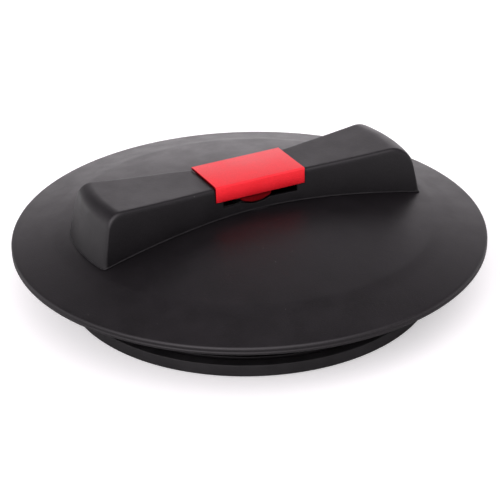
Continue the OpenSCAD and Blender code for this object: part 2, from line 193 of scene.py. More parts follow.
def boolean(ob, tools, operation):
    """Exact boolean of ob with every tool; the tools are removed."""
    group = bpy.data.collections.new("tools")
    SC.collection.children.link(group)
    for tool in tools:
        for collection in list(tool.users_collection):
            collection.objects.unlink(tool)
        group.objects.link(tool)
    modifier = ob.modifiers.new("b", "BOOLEAN")
    modifier.operation = operation
    modifier.solver = "EXACT"
    modifier.use_self = operation == "UNION"
    modifier.operand_type = "COLLECTION"
    modifier.collection = group
    apply_modifiers(ob)
    for tool in tools:
        mesh = tool.data
        bpy.data.objects.remove(tool)
        bpy.data.meshes.remove(mesh)
    bpy.data.collections.remove(group)


def tidy(ob):
    """Merges the doubles and slivers that booleans leave."""
    bm = bmesh.new()
    bm.from_mesh(ob.data)
    bmesh.ops.remove_doubles(bm, verts=bm.verts, dist=0.00002)
    bmesh.ops.dissolve_degenerate(bm, dist=1e-6, edges=bm.edges)
    bmesh.ops.recalc_face_normals(bm, faces=bm.faces)
    bm.to_mesh(ob.data)
    bm.free()


def rounded(points, closed=True):
    """Turns corners into arcs. A point is (x, y), (x, y, radius) or (x, y, radius, segments)."""
    out, count = [], len(points)
    for i, point in enumerate(points):
        radius = point[2] if len(point) > 2 else 0.0
        if radius <= 0 or (not closed and i in (0, count - 1)):
            out.append((point[0], point[1]))
            continue
        segments = point[3] if len(point) > 3 else 4
        corner = np.array(point[:2], float)
        before = np.array(points[(i - 1) % count][:2], float) - corner
        after = np.array(points[(i + 1) % count][:2], float) - corner
        len_before, len_after = np.linalg.norm(before), np.linalg.norm(after)
        before, after = before / len_before, after / len_after
        opening = math.acos(max(-1, min(1, float(before @ after))))
        if opening > math.pi - 0.02:
            out.append((point[0], point[1]))
            continue
        reach = min(radius / math.tan(opening / 2), 0.49 * len_before, 0.49 * len_after)
        fitted = reach * math.tan(opening / 2)
        bisector = (before + after) / np.linalg.norm(before + after)
        centre = corner + bisector * (fitted / math.sin(opening / 2))
        first, last = (corner + before * reach) - centre, (corner + after * reach) - centre
        start, end = math.atan2(first[1], first[0]), math.atan2(last[1], last[0])
        sweep = (end - start + math.pi) % (2 * math.pi) - math.pi
        for k in range(segments + 1):
            angle = start + sweep * k / segments
            out.append((centre[0] + fitted * math.cos(angle), centre[1] + fitted * math.sin(angle)))
    return out


def tube_faces(rings, sides, closed):
    """Faces joining a row of rings; an open row gets a cap at each end."""
    faces = []
    for i in range(rings if closed else rings - 1):
        k = (i + 1) % rings
        for j in range(sides):
            m = (j + 1) % sides
            faces.append((i * sides + j, k * sides + j, k * sides + m, i * sides + m))
    if not closed:
        faces.append(tuple(range(sides))[::-1])
        faces.append(tuple((rings - 1) * sides + j for j in range(sides)))
    return faces


def revolve(name, outline, seg=256):
    """Closed (r, z) outline, clear of the axis, turned about Z."""
    r, z = np.asarray(outline, float).T
    angle = np.linspace(0, 2 * np.pi, seg, endpoint=False)[:, None]
    verts = np.stack([r * np.cos(angle), r * np.sin(angle), np.tile(z, (seg, 1))], -1)
    return solid(name, verts.reshape(-1, 3), tube_faces(seg, len(outline), closed=True))


def spin(name, profile, seg, at=(0, 0), along_x=False):
    """(r, z) profile from the axis out and back to it, turned about Z at (x, y).

    Along X, the profile's z runs along X and the place is (y, z).
    """
    verts, faces, rings = [], [], []
    for r, z in profile:
        count = 1 if r < 1e-6 else seg
        rings.append(range(len(verts), len(verts) + count))
        for i in range(count):
            angle = 2 * math.pi * i / seg
            verts.append((r * math.cos(angle), r * math.sin(angle), z))
    for a, b in zip(rings, rings[1:]):
        for i in range(seg):
            k = (i + 1) % seg
            if len(a) == 1:
                faces.append((a[0], b[k], b[i]))
            elif len(b) == 1:
                faces.append((a[i], a[k], b[0]))
            else:
                faces.append((a[i], a[k], b[k], b[i]))
    verts = np.array(verts, float)
    if along_x:
        verts = verts[:, [2, 0, 1]]
    return solid(name, verts + np.array((0, *at) if along_x else (*at, 0), float), faces)


def rod(name, r, z0, z1, at, seg, along_x=False, chamfer=0.0):
    if chamfer:
        profile = [(0, z0), (r - chamfer, z0), (r, z0 + chamfer), (r, z1 - chamfer),
                   (r - chamfer, z1), (0, z1)]
    else:
        profile = [(0, z0), (r, z0), (r, z1), (0, z1)]
    return spin(name, profile, seg, at, along_x)


def block(name, x, y, z):
    verts = [(a, b, c) for a in x for b in y for c in z]
    faces = [(0, 1, 3, 2), (4, 6, 7, 5), (0, 4, 5, 1), (2, 3, 7, 6), (0, 2, 6, 4), (1, 5, 7, 3)]
    return solid(name, verts, faces)


def prism(name, first, second):
    """Solid between two outlines with the same number of points."""
    n = len(first)
    faces = [tuple(range(n)), tuple(range(2 * n - 1, n - 1, -1))]
    faces += [(i, n + i, n + (i + 1) % n, (i + 1) % n) for i in range(n)]
    return solid(name, list(first) + list(second), faces)


def prism_x(name, outline, x0, x1):
    """(y, z) outline extruded along X."""
    n = len(outline)
    verts = [(x, y, z) for x in (x0, x1) for y, z in outline]
    faces = [tuple(range(n))[::-1], tuple(range(n, 2 * n))]
    faces += [(i, (i + 1) % n, n + (i + 1) % n, n + i) for i in range(n)]
    return solid(name, verts, faces)


def prism_y(name, outline, y0, y1):
    """(x, z) outline extruded along Y."""
    return prism(name, [(x, y0, z) for x, z in outline], [(x, y1, z) for x, z in outline])


def round_edges(ob, width, segments, weight=None):
    """Bevels edges sharper than 50 degrees, or by weight(midpoint in mm, direction)."""
    modifier = ob.modifiers.new("bv", "BEVEL")
    modifier.width = width * MM
    modifier.segments = segments
    modifier.use_clamp_overlap = True
    if weight is None:
        modifier.limit_method = "ANGLE"
        modifier.angle_limit = math.radians(50)
    else:
        modifier.limit_method = "WEIGHT"
        mesh = ob.data
        shares = []
        for edge in mesh.edges:
            a, b = (mesh.vertices[i].co for i in edge.vertices)
            middle = (a + b) / 2 / MM
            middle.z -= RIM_PLANE
            shares.append(weight(middle, (b - a).normalized()))
        attribute = mesh.attributes.new("bevel_weight_edge", "FLOAT", "EDGE")
        attribute.data.foreach_set("value", np.array(shares, np.float32))
    apply_modifiers(ob)


def set_material(ob, material):
    mesh = ob.data
    mesh.materials.clear()
    mesh.materials.append(material)
    mesh.polygons.foreach_set("material_index", np.zeros(len(mesh.polygons), np.int32))


def finish_piece(ob, body, material, replaces, sharp_angle):
    """Material, smooth shading and the piece's place in the frame."""
    set_material(ob, material)
    mesh = ob.data
    mesh.polygons.foreach_set("use_smooth", np.ones(len(mesh.polygons), bool))
    mesh.set_sharp_from_angle(angle=math.radians(sharp_angle))
    mesh.update()
    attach(ob, body)
    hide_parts(replaces)


# ------------------------------------------------------------------ node helpers
class Nodes:
    """Builds one node tree, for a material or for the world."""

    def __init__(self, owner, output="ShaderNodeOutputMaterial", coord="Object"):
        self.owner = owner
        owner.use_nodes = True
        self.tree = owner.node_tree
        self.tree.nodes.clear()
        self.out = self.new(output)
        self.coord = self.new("ShaderNodeTexCoord").outputs[coord]

    def new(self, kind, inputs=None, **settings):
        node = self.tree.nodes.new(kind)
        for key, value in settings.items():
            setattr(node, key, value)
        for key, value in (inputs or {}).items():
            self.put(node.inputs[key], value)
        return node

    def put(self, socket, value):
        """Links a socket, or sets a plain value."""
        if isinstance(value, bpy.types.NodeSocket):
            self.tree.links.new(value, socket)
        else:
            socket.default_value = value

    def noise(self, scale, detail, rough, vector=None):
        node = self.new("ShaderNodeTexNoise", {"Scale": scale, "Detail": detail,
                                               "Roughness": rough, "Vector": vector or self.coord})
        return node.outputs["Fac"]

    def voronoi(self, scale):
        return self.new("ShaderNodeTexVoronoi", {"Scale": scale, "Vector": self.coord})

    def math(self, operation, *values):
        node = self.new("ShaderNodeMath", dict(enumerate(values)), operation=operation)
        return node.outputs[0]

    def add(self, a, b):
        return self.math("ADD", a, b)

    def sub(self, a, b):
        return self.math("SUBTRACT", a, b)

    def mul(self, a, b):
        return self.math("MULTIPLY", a, b)

    def span(self, value, start, end, low=0.0, high=1.0):
        """Eases start to end onto low to high."""
        node = self.new("ShaderNodeMapRange",
                        {"Value": value, "From Min": start, "From Max": end,
                         "To Min": low, "To Max": high},
                        clamp=True, interpolation_type="SMOOTHSTEP")
        return node.outputs["Result"]

    def mix(self, share, a, b):
        node = self.new("ShaderNodeMix", {"Factor": share, "A": a, "B": b},
                        data_type="RGBA", blend_type="MIX", clamp_factor=True)
        return node.outputs["Result"]

    def red(self, colour):
        return self.new("ShaderNodeSeparateColor", {0: colour}).outputs[0]

    def stretch(self, scale, turn=0):
        node = self.new("ShaderNodeMapping", {"Scale": scale, "Rotation": (0, 0, turn),
                                              "Vector": self.coord})
        return node.outputs["Vector"]

    def bump(self, height, strength, distance, normal):
        node = self.new("ShaderNodeBump", {"Strength": strength, "Distance": distance,
                                           "Height": height, "Normal": normal})
        return node.outputs["Normal"]

    def round_normal(self, radius):
        """Normal that looks rounded along sharp edges."""
        return self.new("ShaderNodeBevel", {"Radius": radius}, samples=4).outputs["Normal"]

    def edge_mask(self, rounded_normal):
        """1 along sharp edges, 0 elsewhere."""
        flat = self.new("ShaderNodeNewGeometry").outputs["Normal"]
        dot = self.new("ShaderNodeVectorMath", {0: rounded_normal, 1: flat},
                       operation="DOT_PRODUCT")
        return self.span(dot.outputs["Value"], start=0.995, end=0.80)

    def surface(self, colour, roughness, normal, specular=0.5, metallic=0.0):
        shader = self.new("ShaderNodeBsdfPrincipled",
                          {"Base Color": colour, "Roughness": roughness, "Metallic": metallic,
                           "Specular IOR Level": specular, "IOR": 1.5, "Normal": normal})
        self.put(self.out.inputs["Surface"], shader.outputs["BSDF"])
        return self.owner


def rgba(r, g, b):
    return (r, g, b, 1.0)


def brighter(colour, gain, lift):
    return rgba(*[min(1.0, c * gain + lift) for c in colour[:3]])


# ------------------------------------------------------------------ materials
def specks(n, scale, share, outer, inner):
    """Round specks, fading from the inner to the outer radius, in a share of the cells."""
    cells = n.voronoi(scale)
    picked = n.math("GREATER_THAN", n.red(cells.outputs["Color"]), 1.0 - share)
    return n.mul(picked, n.span(cells.outputs["Distance"], start=outer, end=inner))


def scratches(n):
    """Fine lines in three directions, each only in patches."""
    lines = None
    for turn, scale, patch_shift in ((0.5, 34.0, 0.0), (-0.9, 27.0, 3.7), (1.9, 40.0, 7.3)):
        along = n.stretch((scale * 9.0, scale * 0.35, scale * 0.35), turn)
        wave = n.noise(scale=1.0, detail=1, rough=0.3, vector=along)
        line = n.span(n.math("ABSOLUTE", n.sub(wave, 0.5)), start=0.0045, end=0.0)
        patch = n.noise(scale=22.0 + patch_shift, detail=2, rough=0.5)
        line = n.mul(line, n.span(patch, start=0.60, end=0.70))
        lines = line if lines is None else n.math("MAXIMUM", lines, line)
    return lines


def turning_rings(n):
    """Fine concentric ripples about Z."""
    axes = n.new("ShaderNodeSeparateXYZ", {0: n.coord}).outputs
    squares = n.add(n.math("POWER", axes[0], 2.0), n.math("POWER", axes[1], 2.0))
    return n.math("SINE", n.mul(n.math("SQRT", squares), 5200.0))


def moulded(name, dark, light, edge_tint, roughness, grain, grain_depth, edge_radius, dust,
            scratch, specular, turned=False, grime_and_shade=rgba(0.0006, 0.0005, 0.0006),
            shade_reach=0.045, shade_power=1.0):
    """Moulded plastic: fine grain, soft mottling, dust, scratches, polished edges, and painted shade
    in recesses.
    """
    n = Nodes(bpy.data.materials.new(name))
    broad = n.noise(scale=9.0, detail=3, rough=0.55)
    mottle = n.noise(scale=70.0, detail=4, rough=0.6)
    fine = n.noise(scale=grain, detail=3, rough=0.6)
    grit = n.voronoi(grain * 0.7).outputs["Distance"]
    tone = n.add(n.mul(broad, 0.5), n.mul(mottle, 0.5))
    colour = n.mix(n.span(tone, start=0.38, end=0.62), dark, light)
    colour = n.mix(n.span(fine, start=0.38, end=0.68, high=0.60), colour,
                   brighter(light, gain=1.5, lift=0.0015))
    # worn, slightly shinier edges
    edge_normal = n.round_normal(edge_radius)
    edge = n.edge_mask(edge_normal)
    wear = n.noise(scale=260.0, detail=3, rough=0.6)
    worn = n.mul(edge, n.span(wear, start=0.42, end=0.68))
    colour = n.mix(n.mul(worn, 0.55), colour, edge_tint)
    rough = n.add(n.span(mottle, start=0.3, end=0.7, low=roughness[0], high=roughness[1]),
                  n.mul(n.sub(fine, 0.5), 0.10))
    rough = n.sub(rough, n.mul(edge, 0.06))
    # pale dust, in large specks and fainter small ones
    large = specks(n, scale=105.0, share=0.05 * dust, outer=0.040, inner=0.022)
    small = specks(n, scale=330.0, share=0.03 * dust, outer=0.085, inner=0.05)
    dusty = n.math("MAXIMUM", large, n.mul(small, 0.6))
    colour = n.mix(n.mul(dusty, 0.5), colour, rgba(0.42, 0.41, 0.40))
    rough = n.add(rough, n.mul(dusty, 0.3))
    height = n.add(n.mul(fine, 0.7), n.mul(grit, 0.45))
    # scratches cut in, show paler and scatter more
    lines = scratches(n)
    height = n.sub(height, n.mul(lines, 0.8 * scratch))
    colour = n.mix(n.mul(lines, 0.30 * scratch), colour, brighter(light, gain=3, lift=0.03))
    rough = n.add(rough, n.mul(lines, 0.1))
    if turned:
        height = n.add(height, n.mul(turning_rings(n), 0.05))
    normal = n.bump(n.noise(scale=26.0, detail=3, rough=0.5), strength=0.25, distance=0.0004,
                    normal=edge_normal)
    normal = n.bump(height, strength=0.70, distance=grain_depth, normal=normal)
    # painted shade: ambient occlusion darkens recesses towards the shade colour and takes the shine
    # out of them
    ao = n.new("ShaderNodeAmbientOcclusion", {"Distance": shade_reach}, samples=4)
    unshaded = n.math("POWER", ao.outputs["AO"], shade_power)
    colour = n.mix(unshaded, grime_and_shade, colour)
    return n.surface(colour, n.math("MAXIMUM", rough, 0.05), normal,
                     specular=n.mul(unshaded, specular))


def rubber(name):
    n = Nodes(bpy.data.materials.new(name))
    mottle = n.noise(scale=120.0, detail=4, rough=0.6)
    fine = n.noise(scale=2600.0, detail=2, rough=0.6)
    colour = n.mix(n.span(mottle, start=0.35, end=0.65), rgba(0.0075, 0.0070, 0.0077),
                   rgba(0.0125, 0.0118, 0.0128))
    # greyish bloom in patches
    bloom = n.span(n.noise(scale=35.0, detail=4, rough=0.65), start=0.55, end=0.75)
    colour = n.mix(n.mul(bloom, 0.16), colour, rgba(0.05, 0.049, 0.051))
    rough = n.add(n.span(mottle, start=0.3, end=0.7, low=0.52, high=0.66), n.mul(bloom, 0.08))
    height = n.add(n.mul(fine, 0.6), n.mul(mottle, 0.4))
    normal = n.bump(height, strength=0.4, distance=0.00005, normal=n.round_normal(0.0003))
    return n.surface(colour, rough, normal, specular=0.45)


def steel(name, base, roughness, brushed):
    """Brushed metal; brushed is the streak noise's scale along each axis."""
    n = Nodes(bpy.data.materials.new(name))
    streak = n.noise(scale=1.0, detail=3, rough=0.6, vector=n.stretch(brushed))
    cloud = n.noise(scale=160.0, detail=4, rough=0.6)
    colour = n.mix(n.span(cloud, start=0.35, end=0.7), rgba(*[c * 0.82 for c in base]),
                   rgba(*base))
    stain = n.span(n.noise(scale=420.0, detail=3, rough=0.6), start=0.62, end=0.74)
    colour = n.mix(n.mul(stain, 0.25), colour, rgba(0.30, 0.27, 0.22))
    rough = n.add(n.span(streak, start=0.3, end=0.7, low=roughness - 0.06, high=roughness + 0.10),
                  n.mul(stain, 0.2))
    height = n.add(n.mul(streak, 0.7), n.mul(cloud, 0.3))
    normal = n.bump(height, strength=0.25, distance=0.00003, normal=n.round_normal(0.0002))
    return n.surface(colour, rough, normal, metallic=1.0)


def acetal(name):
    """Smooth black engineering plastic."""
    n = Nodes(bpy.data.materials.new(name))
    mottle = n.noise(scale=90.0, detail=3, rough=0.55)
    fine = n.noise(scale=2200.0, detail=2, rough=0.6)
    colour = n.mix(n.span(mottle, start=0.35, end=0.65), rgba(0.010, 0.010, 0.011),
                   rgba(0.017, 0.017, 0.018))
    grime_and_shade = n.span(n.noise(scale=240.0, detail=4, rough=0.65), start=0.58, end=0.75)
    colour = n.mix(n.mul(grime_and_shade, 0.20), colour, rgba(0.05, 0.048, 0.045))
    rough = n.add(n.span(mottle, start=0.3, end=0.7, low=0.32, high=0.42), n.mul(grime_and_shade, 0.12))
    height = n.add(n.mul(fine, 0.5), n.mul(mottle, 0.5))
    normal = n.bump(height, strength=0.3, distance=0.00004, normal=n.round_normal(0.0002))
    return n.surface(colour, rough, normal)


M_COVER = moulded(
    "cover_plastic", dark=rgba(0.0057, 0.0048, 0.0057), light=rgba(0.0086, 0.0072, 0.0086),
    edge_tint=rgba(0.06, 0.058, 0.06), roughness=(0.39, 0.45), grain=1500.0,
    grain_depth=0.00006, edge_radius=0.0006, dust=0.6, scratch=0.6, specular=0.42, turned=True)
M_HANDLE = moulded(
    "handle_plastic", dark=rgba(0.0050, 0.0043, 0.0053), light=rgba(0.0074, 0.0063, 0.0077),
    edge_tint=rgba(0.05, 0.05, 0.052), roughness=(0.39, 0.46), grain=1300.0,
    grain_depth=0.00007, edge_radius=0.0006, dust=0.7, scratch=0.3, specular=0.42)
# the lever's dark red shade colour and steep occlusion power paint shade on its tongue and in the
# slot
M_LEVER = moulded(
    "lever_plastic", dark=rgba(0.80, 0.009, 0.018), light=rgba(0.88, 0.012, 0.023),
    edge_tint=rgba(0.80, 0.10, 0.10), roughness=(0.36, 0.44), grain=1700.0,
    grain_depth=0.00004, edge_radius=0.0004, dust=0.25, scratch=0.25, specular=0.5,
    grime_and_shade=rgba(0.020, 0.0008, 0.0012), shade_reach=0.018, shade_power=5.5)
M_RUBBER = rubber("seal_rubber")
M_STEEL = steel("zinc_steel", base=(0.62, 0.62, 0.64), roughness=0.30,
                brushed=(30.0, 30.0, 900.0))
M_SPRING = steel("spring_steel", base=(0.55, 0.55, 0.57), roughness=0.26,
                 brushed=(500.0, 500.0, 60.0))
M_ACETAL = acetal("acetal")


# ------------------------------------------------------------------ cover
def cover_outline():
    """The cover's section, as (r, z[, corner radius[, segments]]), from the hub outwards."""
    edge_r, edge_z = 1.6, 3.0
    edge_centre = np.array([RIM_R - edge_r, edge_z])
    brim_angle = math.atan(-BRIM_SLOPE)
    # the hub, with a small raised ring round its hole
    points = [(4.5, 8.0, 0.0), (4.5, 23.3, 0.2, 2), (9.4, 23.3, 0.2, 2), (9.8, 24.18, 0.25, 3),
              (11.1, 24.18, 0.25, 3), (11.5, 23.3, 0.2, 2), (16.0, 23.3, 0.25, 2),
              (16.8, dome(16.8), 0.3, 2)]
    points += [(r, dome(r)) for r in np.linspace(19, STEP_R - 1.5, 30)]
    # the soft step where the dome breaks into the brim
    points += [(r, step_z(r)) for r in np.linspace(STEP_R, BRIM_R, 23)]
    # the brim, very slightly crowned
    edge_start = math.pi / 2 - brim_angle
    inner = np.array([BRIM_R, step_z(BRIM_R)])
    outer = edge_centre + edge_r * np.array([math.cos(edge_start), math.sin(edge_start)])
    for u in (0.12, 0.3, 0.5, 0.7, 0.9):
        r, z = inner + (outer - inner) * u
        points.append((r, z + 0.06 * math.sin(math.pi * u)))
    for k in range(9):
        angle = edge_start * (1 - k / 8)
        points.append((edge_centre[0] + edge_r * math.cos(angle),
                       edge_centre[1] + edge_r * math.sin(angle)))
    # the outer edge, with a rounded lower lip, and back under the brim
    points += [(RIM_R - 0.28, 2.3, 0.5, 4), (RIM_R - 0.28, 1.75, 0.4, 4),
               (RIM_R, 1.35, 0.35, 4), (RIM_R, 0.0, 0.85, 6), (RIM_R - 5.5, 0.0, 0.5, 3),
               (RIM_R - 6.3, edge_z + edge_r + 5.8 * math.tan(brim_angle) - COVER_WALL, 0.8, 4),
               (CREASE + 1, step_z(CREASE + 1) - COVER_WALL - 0.05, 3.0, 4)]
    points += [(r, dome(r) - COVER_WALL) for r in np.linspace(CREASE - 6, SKIRT_R + 4, 4)]
    # the skirt, with a flange at its foot
    points += [(SKIRT_R, dome(SKIRT_R) - COVER_WALL, 2.0, 6), (SKIRT_R, -22.8, 0.4, 3),
               (SKIRT_R + 4.8, -22.8, 0.4, 3), (SKIRT_R + 4.8, -SKIRT_DEPTH, 0.3, 2),
               (SKIRT_R - 3, -SKIRT_DEPTH, 0.3, 2),
               (SKIRT_R - 3, dome(SKIRT_R - 3) - COVER_WALL, 1.5, 5)]
    points += [(r, dome(r) - COVER_WALL) for r in np.linspace(SKIRT_R - 7, 22, 16)]
    points += [(16.0, 20.6, 0.6, 3), (5.9, 20.6, 0.6, 3), (5.9, 8.0, 0.3, 2)]
    return rounded(points)


def cover_rib(k):
    """Radial rib under the dome, midway between two ring screws, thinner at its free edge."""
    inner, outer, top_points = 14, 97.5, 9
    angle = math.radians(22.5 + 45 * k)
    along = np.array([math.cos(angle), math.sin(angle)])
    across = np.array([-math.sin(angle), math.cos(angle)])
    line = [(r, dome(r) - 1.56) for r in np.linspace(inner, outer, top_points)]
    line += rounded([(outer, dome(outer) - 14), (89.5, dome(outer) - 11, 4.0, 4),
                     (24, dome(inner) - 9, 3.0, 4), (inner, dome(inner) - 5)], closed=False)
    sides = []
    for side in (-1, 1):
        sides.append([(*(along * r + across * side * (1.0 if i < top_points else 0.72)), z)
                      for i, (r, z) in enumerate(line)])
    return prism("rib", *sides)


def build_cover():
    cover = revolve("cover_shell", cover_outline())
    add, cut = [], []
    for k in range(RING_SCREWS):
        add.append(cover_rib(k))
        add.append(spin("boss", [(0, 14.2), (5.5, 14.2), (5.5, -24.1), (5.0, -24.6), (0, -24.6)],
                        40, ring_place(k)))
    for x, y, seat in HANDLE_SCREWS:
        top = dome(math.hypot(x, y) + 6) - 0.4
        add.append(spin("boss", [(0, top), (6, top), (6, seat + 0.4), (5.6, seat), (0, seat)],
                        40, (x, y)))
        cut.append(rod("hole", 2.15, 5, 30, (x, y), seg=28))
    boolean(cover, add, "UNION")
    for k in range(6):                 # small holes round the hub
        angle = math.radians(60 * k + 30)
        cut.append(rod("hole", 1.5, 15, 27, (7.7 * math.cos(angle), 7.7 * math.sin(angle)),
                       seg=24))
    for k in range(RING_SCREWS):
        cut.append(rod("hole", 1.65, -25.4, -8.8, ring_place(k), seg=24))
    boolean(cover, cut, "DIFFERENCE")
    tidy(cover)
    finish_piece(cover, "body", M_COVER, "cover", sharp_angle=30)


# ------------------------------------------------------------------ handle
# One row across the handle: its radius about Z where it is round in plan (its x on the level
# top), height, share of the top's curvature, corner radii and the x of its foot
Column = namedtuple("Column", "round r z curve front_r back_r foot_x")


def conic(start, corner, end, weight, u):
    """Point at u on a rational curve from start to end that bends towards corner."""
    bend = 2 * weight * u * (1 - u)
    return ((1 - u) ** 2 * start + bend * corner + u * u * end) / ((1 - u) ** 2 + bend + u * u)


class HandleHalf:
    """Rows of skin for the right (sign 1) or left (sign -1) half, worked out on x >= 0.

    The insets move the skin inwards from the outer surface. A row runs from the front foot,
    over the top, to the back foot.
    """
    SIDE_N, CORNER_N, TOP_N = 16, 7, 26          # steps along a row
    WALL_N, BEND_N, LEVEL_N = 12, 14, 23         # rows up the end wall, bend and level top

    def __init__(self, sign, bend, side_inset, end_inset, top_inset, front_r, back_r, end_r,
                 foot_r):
        self.sign, self.bend = sign, bend
        self.side_inset, self.end_inset, self.top_inset = side_inset, end_inset, top_inset
        self.front_r, self.back_r, self.end_r, self.foot_r = front_r, back_r, end_r, foot_r
        self.base_z = 13.0
        for _ in range(8):
            self.base_z = dome(self.wall_r(self.base_z)) + JOINT_GAP
        corner_z = top_z(91) + 0.55 - top_inset
        self.corner = np.array([self.wall_r(corner_z), corner_z])
        self.level_x = self.corner[0] - bend

    def wall_r(self, z):
        """Radius of the leaning end wall."""
        return 106.0 - self.end_inset - 0.23 * (z - 13.0)

    def width(self, x, z, side):
        extra = extra_back(self.sign * x) if side > 0 else 0.0
        return half_width(x, z) - self.side_inset + extra

    def columns(self):
        low = self.corner[1] - self.bend
        bend_start = np.array([self.wall_r(low), low])
        bend_end = np.array([self.level_x, top_z(self.level_x) - self.top_inset])
        foot0, foot1, foot2 = self.wall_r(self.base_z) - 6.0, bend_start[0] - 5.5, self.level_x - 2.5
        heights = self.base_z + (low - self.base_z) * (np.linspace(0, 1, self.WALL_N + 1) ** 1.25)
        out = []
        for i, z in enumerate(heights[:-1]):
            u = i / self.WALL_N
            front = self.foot_r + (self.end_r - self.foot_r) * u ** 0.7
            out.append(Column(True, self.wall_r(z), z, 0.0, front, self.end_r,
                              foot0 + (foot1 - foot0) * u))
        for i in range(self.BEND_N + 1):
            u = i / self.BEND_N
            r, z = conic(bend_start, self.corner, bend_end, 0.76, u)
            s = u * u * (3 - 2 * u)
            out.append(Column(True, r, z, s, self.end_r + (self.front_r - self.end_r) * s,
                              self.end_r + (self.back_r - self.end_r) * s,
                              foot1 + (foot2 - foot1) * u))
        for x in self.level_x * (1 - np.linspace(0, 1, self.LEVEL_N + 1)[1:]):
            out.append(Column(False, x, 0.0, 1.0, self.front_r, self.back_r,
                              foot2 * x / self.level_x))
        return out

    def top_point(self, column, t):
        """Point on the top; t is -1 at the front edge and 1 at the back edge."""
        r = column.r
        x = r
        z = column.z if column.round else top_z(r) - self.top_inset
        y = 0.0
        for _ in range(5):
            y = t * self.width(x, z, t)
            if column.round:
                x = math.sqrt(max(r * r - y * y, 0))
                z = column.z - column.curve * (top_z(r) - top_z(x))
            else:
                x = r * math.sqrt(self.level_x * self.level_x - y * y) / self.level_x
                z = top_z(x) - self.top_inset
        return np.array([x, y, z])

    def foot_point(self, column, side):
        """Point where a side meets the cover."""
        x, y, z = column.foot_x, 0.0, 15.0
        for _ in range(8):
            y = self.width(x, z, side)
            z = dome(math.hypot(x, y)) + JOINT_GAP
        return np.array([x, side * y, z])

    def row(self, column, on_cover):
        edge = {side: self.top_point(column, side) for side in (-1, 1)}
        foot = {side: self.foot_point(column, side) for side in (-1, 1)}

        def side_point(side, down):
            x = edge[side][0] + (foot[side][0] - edge[side][0]) * down
            z = edge[side][2] + (foot[side][2] - edge[side][2]) * down
            y = side * self.width(x, z, side)
            if on_cover:
                for _ in range(5):
                    z = dome(math.hypot(x, y)) + JOINT_GAP
                    y = side * self.width(x, z, side)
            return np.array([x, y, z])

        def corner_arc(side):
            """Where the corner starts on the side and on the top, and the arc between."""
            radius = column.front_r if side < 0 else column.back_r
            length = math.hypot(foot[side][0] - edge[side][0], foot[side][2] - edge[side][2])
            down = min(radius / length, 0.6)
            t = 1 - radius / abs(edge[side][1])
            start, end = side_point(side, down), self.top_point(column, side * t)
            if on_cover:
                end[2] = self.base_z
            arc = [conic(start, edge[side], end, 0.7071, k / self.CORNER_N)
                   for k in range(self.CORNER_N + 1)]
            return down, t, arc

        down_f, t_f, arc_f = corner_arc(-1)
        down_b, t_b, arc_b = corner_arc(1)
        side_n, top_n = self.SIDE_N, self.TOP_N
        points = [side_point(-1, 1 - (1 - down_f) * k / side_n) for k in range(side_n)]
        points += arc_f
        points += [self.top_point(column, -t_f + (t_f + t_b) * k / top_n)
                   for k in range(1, top_n)]
        points += arc_b[::-1]
        points += [side_point(1, down_b + (1 - down_b) * k / side_n)
                   for k in range(1, side_n + 1)]
        return np.array(points) * np.array([self.sign, 1, 1])

    def rows(self):
        """Rows from the end to the middle; the first lies on the cover all the way."""
        return [self.row(column, i == 0) for i, column in enumerate(self.columns())]


def handle_skin(right_bend, left_bend, **shape):
    """The whole skin as [row along X, point across, xyz], from right to left."""
    right = HandleHalf(1, right_bend, **shape).rows()
    left = HandleHalf(-1, left_bend, **shape).rows()
    return np.array(right + left[:-1][::-1])


def handle_shell(outer, inner, border):
    """Outer and inner skin joined along their border."""
    n, m, _ = outer.shape
    o = n * m
    faces = []
    for i in range(n - 1):
        for j in range(m - 1):
            a, b, c, d = i * m + j, (i + 1) * m + j, (i + 1) * m + j + 1, i * m + j + 1
            faces.append((a, b, c, d))
            faces.append((o + a, o + d, o + c, o + b))
    for (i0, j0), (i1, j1) in zip(border, border[1:] + border[:1]):
        a, b = i0 * m + j0, i1 * m + j1
        faces.append((a, b, o + b, o + a))
    return solid("handle", np.concatenate([outer.reshape(-1, 3), inner.reshape(-1, 3)]), faces)


def joint_lip(loop):
    """Thin lip along the joint with the cover."""
    spacing, half_w, half_h, sides = 0.55, 0.42, 0.40, 8
    walked = np.cumsum(np.linalg.norm(np.roll(loop, -1, 0) - loop, axis=1))
    keep, last = [0], 0.0
    for k in range(1, len(loop)):
        if walked[k - 1] - last > spacing:
            keep.append(k)
            last = walked[k - 1]
    loop = loop[keep]
    up = np.array([0, 0, 1.0])
    tangent = np.roll(loop, -1, 0) - np.roll(loop, 1, 0)
    tangent /= np.linalg.norm(tangent, axis=1)[:, None]
    out = np.cross(tangent, up)
    out /= np.linalg.norm(out, axis=1)[:, None]
    if (out * loop).sum(1).mean() < 0:
        out = -out
    verts = []
    for point, away in zip(loop, out):
        centre = point + np.array([0, 0, 0.30]) - away * 0.02
        for j in range(sides):
            angle = 2 * math.pi * (j + 0.5) / sides
            verts.append(centre + away * half_w * math.cos(angle) + up * half_h * math.sin(angle))
    return solid("lip", verts, tube_faces(len(loop), sides, closed=True))


